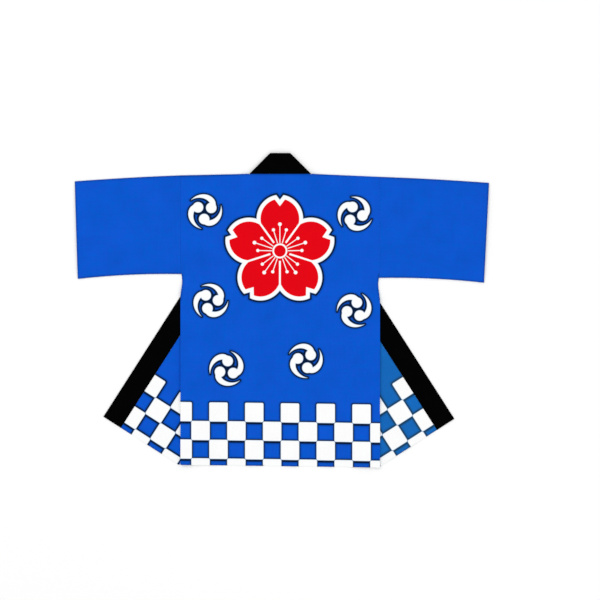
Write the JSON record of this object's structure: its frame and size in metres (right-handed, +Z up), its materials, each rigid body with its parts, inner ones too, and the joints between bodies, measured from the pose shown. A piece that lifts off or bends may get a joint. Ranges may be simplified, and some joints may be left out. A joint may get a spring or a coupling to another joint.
{
  "type": "happi coat laid flat, back up, with its fronts folded out",
  "caption": "Short straight-cut happi coat lying flat with its back uppermost, tube sleeves spread, and both fronts folded under and outwards so that the collar bands show at the hem.",
  "frame": {"origin": "under the middle of the coat's bounding box, on the surface that it lies on", "axes": "+Z up out of the surface, +Y towards the collar, +X towards the wearer's right sleeve"},
  "size_m": [1.242, 0.943, 0.0082],
  "materials": {
    "body_cloth": "plain-woven cotton, matt, dyed strong blue with white printed motifs and a white check at the hem",
    "right_front_cloth": "the same plain-woven cotton, of a duller blue, with the white check at the hem",
    "collar_cloth": "plain black cotton, folded double, matt"
  },
  "bodies": {
    "root": {"back": "body_cloth", "front_left": "body_cloth", "front_right": "right_front_cloth", "sleeve_left": "body_cloth", "sleeve_right": "body_cloth", "collar": "collar_cloth"}
  },
  "joints": []
}
